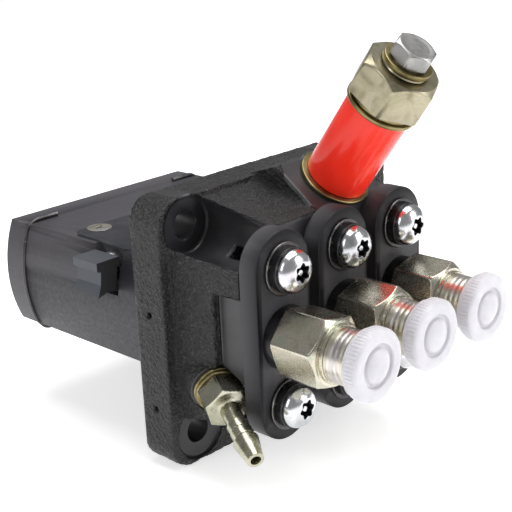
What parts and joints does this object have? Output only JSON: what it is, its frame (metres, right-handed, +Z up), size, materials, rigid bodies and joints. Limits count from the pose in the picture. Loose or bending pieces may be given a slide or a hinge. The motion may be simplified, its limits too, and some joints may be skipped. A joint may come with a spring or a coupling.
{
  "type": "in-line diesel injection pump",
  "caption": "Flange-mounted in-line diesel fuel injection pump with roller tappets, control rack, capped outlets, inlet bolt with transit sleeve and return nipple.",
  "frame": {"origin": "centre of the four flange holes, on the flange's rear mounting face", "axes": "+X along the row of outlets, outlets point along -Y, spigot along +Y, +Z up towards the inlet bolt"},
  "size_m": [0.0843, 0.1363, 0.1118],
  "materials": {
    "casting": "black coated, sand-cast in front, machined spigot",
    "black_steel": "black oxide",
    "oiled_steel": "dark, slightly glossy",
    "yellow_zinc": "yellow chromate zinc",
    "bright_zinc": "bright zinc",
    "brass": "tarnished",
    "cap_plastic": "translucent polyethylene",
    "red_plastic": "glossy",
    "spring_steel": "wound wire",
    "ground_steel": "ground"
  },
  "bodies": {
    "housing": {"pump_housing": "casting", "barrel_flange_1": "black_steel", "barrel_flange_2": "black_steel", "barrel_flange_3": "black_steel", "plunger_barrel_1": "ground_steel", "plunger_barrel_2": "ground_steel", "plunger_barrel_3": "ground_steel", "valve_holder_1": "yellow_zinc", "valve_holder_2": "yellow_zinc", "valve_holder_3": "yellow_zinc", "valve_seats": "ground_steel", "delivery_spring_1": "spring_steel", "delivery_spring_2": "spring_steel", "delivery_spring_3": "spring_steel", "plunger_spring_1": "spring_steel", "plunger_spring_2": "spring_steel", "plunger_spring_3": "spring_steel", "upper_seats": "ground_steel", "guide_pins": "ground_steel", "wire_clip": "oiled_steel", "cover_plate": "black_steel", "plate_screws": "bright_zinc", "flange_screws": "bright_zinc", "screw_washers": "oiled_steel", "screw_collars": "oiled_steel", "inlet_washers": "brass", "transit_sleeve": "red_plastic", "inlet_bolt": "yellow_zinc", "bleed_washer": "brass", "bleed_screw": "bright_zinc", "return_nipple": "yellow_zinc", "nipple_washers": "brass"},
    "cap_1": {"outlet_cap_1": "cap_plastic"},
    "valve_1": {"delivery_valve_1": "ground_steel"},
    "sleeve_1": {"control_sleeve_1": "ground_steel"},
    "tappet_body_1": {"tappet_1": "ground_steel", "roller_pin_1": "ground_steel", "lower_seat_1": "ground_steel"},
    "plunger_body_1": {"plunger_1": "ground_steel"},
    "roller_body_1": {"roller_1": "ground_steel"},
    "cap_2": {"outlet_cap_2": "cap_plastic"},
    "valve_2": {"delivery_valve_2": "ground_steel"},
    "sleeve_2": {"control_sleeve_2": "ground_steel"},
    "tappet_body_2": {"tappet_2": "ground_steel", "roller_pin_2": "ground_steel", "lower_seat_2": "ground_steel"},
    "plunger_body_2": {"plunger_2": "ground_steel"},
    "roller_body_2": {"roller_2": "ground_steel"},
    "cap_3": {"outlet_cap_3": "cap_plastic"},
    "valve_3": {"delivery_valve_3": "ground_steel"},
    "sleeve_3": {"control_sleeve_3": "ground_steel"},
    "tappet_body_3": {"tappet_3": "ground_steel", "roller_pin_3": "ground_steel", "lower_seat_3": "ground_steel"},
    "plunger_body_3": {"plunger_3": "ground_steel"},
    "roller_body_3": {"roller_3": "ground_steel"},
    "rack": {"control_rack": "ground_steel", "rack_end": "black_steel"}
  },
  "joints": [
    {"name": "rack_slide", "type": "slide", "parent": "housing", "child": "rack", "axis": [1, 0, 0], "range_m": [-0.003, 0.003]},
    {"name": "cap_1_pull", "type": "slide", "parent": "housing", "child": "cap_1", "axis": [0, -1, 0], "range_m": [0, 0.008]},
    {"name": "valve_1_lift", "type": "slide", "parent": "housing", "child": "valve_1", "axis": [0, -1, 0], "range_m": [0, 0.0012], "stiffness_N_per_m": 6000, "springref_m": -0.0008, "deforming": ["delivery_spring_1"]},
    {"name": "tappet_1_stroke", "type": "slide", "parent": "housing", "child": "tappet_body_1", "axis": [0, -1, 0], "range_m": [0, 0.008], "stiffness_N_per_m": 8000, "springref_m": -0.004, "deforming": ["plunger_spring_1"]},
    {"name": "roller_1_spin", "type": "hinge", "parent": "tappet_body_1", "child": "roller_body_1", "pos_m": [-0.023, 0.0625, 0.0034], "axis": [1, 0, 0], "continuous": true},
    {"name": "sleeve_1_turn", "type": "hinge", "parent": "housing", "child": "sleeve_1", "pos_m": [-0.023, 0.016, 0.0034], "axis": [0, 1, 0], "range_deg": [-21, 21]},
    {"name": "plunger_1_turn", "type": "hinge", "parent": "tappet_body_1", "child": "plunger_body_1", "pos_m": [-0.023, 0.016, 0.0034], "axis": [0, 1, 0], "range_deg": [-21, 21]},
    {"name": "cap_2_pull", "type": "slide", "parent": "housing", "child": "cap_2", "axis": [0, -1, 0], "range_m": [0, 0.008]},
    {"name": "valve_2_lift", "type": "slide", "parent": "housing", "child": "valve_2", "axis": [0, -1, 0], "range_m": [0, 0.0012], "stiffness_N_per_m": 6000, "springref_m": -0.0008, "deforming": ["delivery_spring_2"]},
    {"name": "tappet_2_stroke", "type": "slide", "parent": "housing", "child": "tappet_body_2", "axis": [0, -1, 0], "range_m": [0, 0.008], "stiffness_N_per_m": 8000, "springref_m": -0.004, "deforming": ["plunger_spring_2"]},
    {"name": "roller_2_spin", "type": "hinge", "parent": "tappet_body_2", "child": "roller_body_2", "pos_m": [0, 0.0625, 0.0034], "axis": [1, 0, 0], "continuous": true},
    {"name": "sleeve_2_turn", "type": "hinge", "parent": "housing", "child": "sleeve_2", "pos_m": [0, 0.016, 0.0034], "axis": [0, 1, 0], "range_deg": [-21, 21]},
    {"name": "plunger_2_turn", "type": "hinge", "parent": "tappet_body_2", "child": "plunger_body_2", "pos_m": [0, 0.016, 0.0034], "axis": [0, 1, 0], "range_deg": [-21, 21]},
    {"name": "cap_3_pull", "type": "slide", "parent": "housing", "child": "cap_3", "axis": [0, -1, 0], "range_m": [0, 0.008]},
    {"name": "valve_3_lift", "type": "slide", "parent": "housing", "child": "valve_3", "axis": [0, -1, 0], "range_m": [0, 0.0012], "stiffness_N_per_m": 6000, "springref_m": -0.0008, "deforming": ["delivery_spring_3"]},
    {"name": "tappet_3_stroke", "type": "slide", "parent": "housing", "child": "tappet_body_3", "axis": [0, -1, 0], "range_m": [0, 0.008], "stiffness_N_per_m": 8000, "springref_m": -0.004, "deforming": ["plunger_spring_3"]},
    {"name": "roller_3_spin", "type": "hinge", "parent": "tappet_body_3", "child": "roller_body_3", "pos_m": [0.023, 0.0625, 0.0034], "axis": [1, 0, 0], "continuous": true},
    {"name": "sleeve_3_turn", "type": "hinge", "parent": "housing", "child": "sleeve_3", "pos_m": [0.023, 0.016, 0.0034], "axis": [0, 1, 0], "range_deg": [-21, 21]},
    {"name": "plunger_3_turn", "type": "hinge", "parent": "tappet_body_3", "child": "plunger_body_3", "pos_m": [0.023, 0.016, 0.0034], "axis": [0, 1, 0], "range_deg": [-21, 21]}
  ],
  "couplings": [
    {"joint": "sleeve_1_turn", "follows": "rack_slide", "rad_per_m": 116.28},
    {"joint": "plunger_1_turn", "follows": "rack_slide", "rad_per_m": 116.28},
    {"joint": "sleeve_2_turn", "follows": "rack_slide", "rad_per_m": 116.28},
    {"joint": "plunger_2_turn", "follows": "rack_slide", "rad_per_m": 116.28},
    {"joint": "sleeve_3_turn", "follows": "rack_slide", "rad_per_m": 116.28},
    {"joint": "plunger_3_turn", "follows": "rack_slide", "rad_per_m": 116.28}
  ]
}
